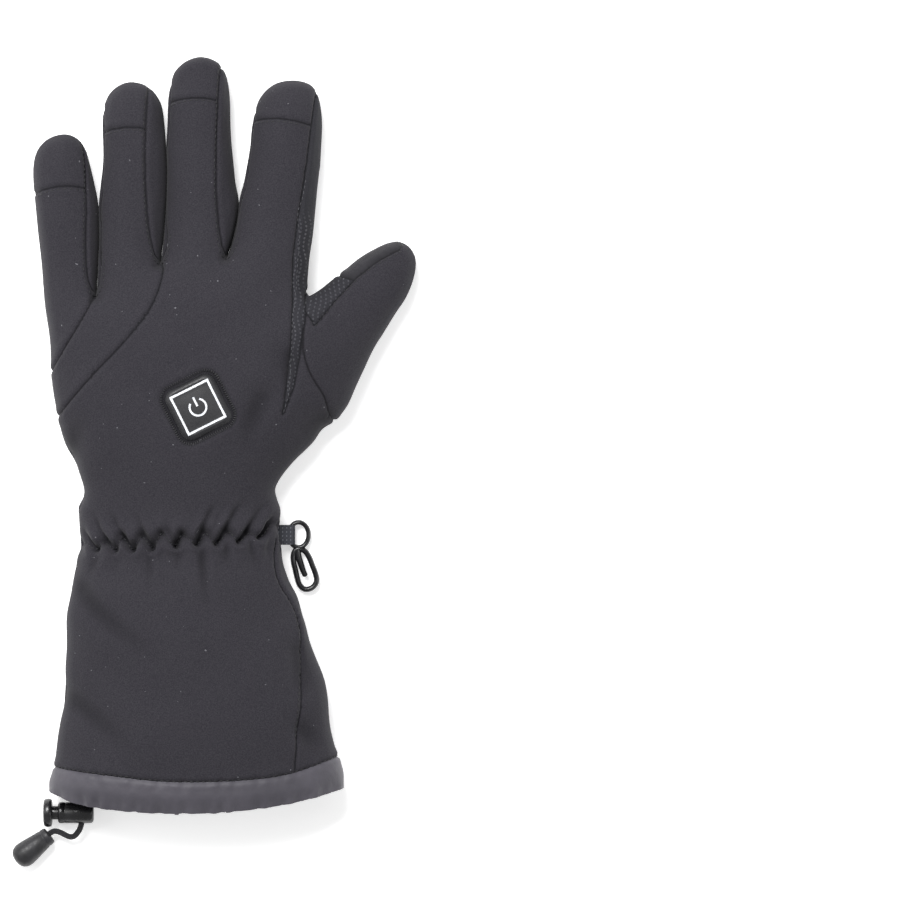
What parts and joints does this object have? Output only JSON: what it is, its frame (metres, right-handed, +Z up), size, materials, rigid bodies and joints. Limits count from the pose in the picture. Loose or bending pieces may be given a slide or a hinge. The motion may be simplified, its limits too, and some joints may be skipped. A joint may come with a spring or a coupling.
{
  "type": "heated glove",
  "caption": "Heated winter glove for the left hand, lying palm down: softshell back with a switch, grip palm with touch patches, gathered wrist, zipped cuff, drawcord hem and snap hook.",
  "frame": {"origin": "bottom centre of the glove's bounding box, without what hangs on the drawcord, on the surface it lies on", "axes": "+X towards the thumb, +Y from the hem to the fingertips, +Z up out of the back of the hand"},
  "size_m": [0.1722, 0.3398, 0.0414],
  "materials": {
    "softshell": "matt softshell with a fine weave",
    "grip_fabric": "matt knit with printed grip dots",
    "suede": "fine suede",
    "hem_nylon": "thin nylon with a slight sheen",
    "webbing": "narrow woven webbing",
    "cord": "round braided elastic cord",
    "zip_tape": "woven tape",
    "switch_rubber": "soft silicone rubber",
    "zip_plastic": "moulded plastic teeth",
    "black_plastic": "glossy moulded plastic"
  },
  "bodies": {
    "glove": {"fourchette_little_ring": "softshell", "fourchette_ring_middle": "softshell", "fourchette_middle_index": "softshell", "back_little_panel": "softshell", "back_ring_strip": "softshell", "back_panel": "softshell", "cap_little": "softshell", "cap_ring": "softshell", "cap_middle": "softshell", "cap_index": "softshell", "thumb_back_panel": "softshell", "wrist_strip": "softshell", "cuff_back": "softshell", "cuff_palm": "softshell", "palm_panel": "grip_fabric", "thumb_grip_panel": "grip_fabric", "touch_patch_index": "suede", "touch_patch_thumb": "suede", "hem_band": "hem_nylon", "switch_pad": "switch_rubber", "zip_tape": "zip_tape", "zip_teeth": "zip_plastic", "zip_slider": "black_plastic", "snap_hook": "black_plastic", "webbing_loop": "webbing", "cord_lock": "black_plastic", "cord_end": "black_plastic", "drawcord": "cord"},
    "zip_puller": {"zip_puller": "black_plastic"},
    "cord_lock_button": {"cord_lock_button": "black_plastic"}
  },
  "joints": [
    {"name": "zip_puller_swing", "type": "hinge", "parent": "glove", "child": "zip_puller", "pos_m": [-0.05455, -0.1325, 0.002], "axis": [0.9517, 0, -0.307], "range_deg": [0, 150]},
    {"name": "cord_lock_press", "type": "slide", "parent": "glove", "child": "cord_lock_button", "axis": [1, 0, 0], "range_m": [0, 0.0022], "stiffness_N_per_m": 300}
  ]
}
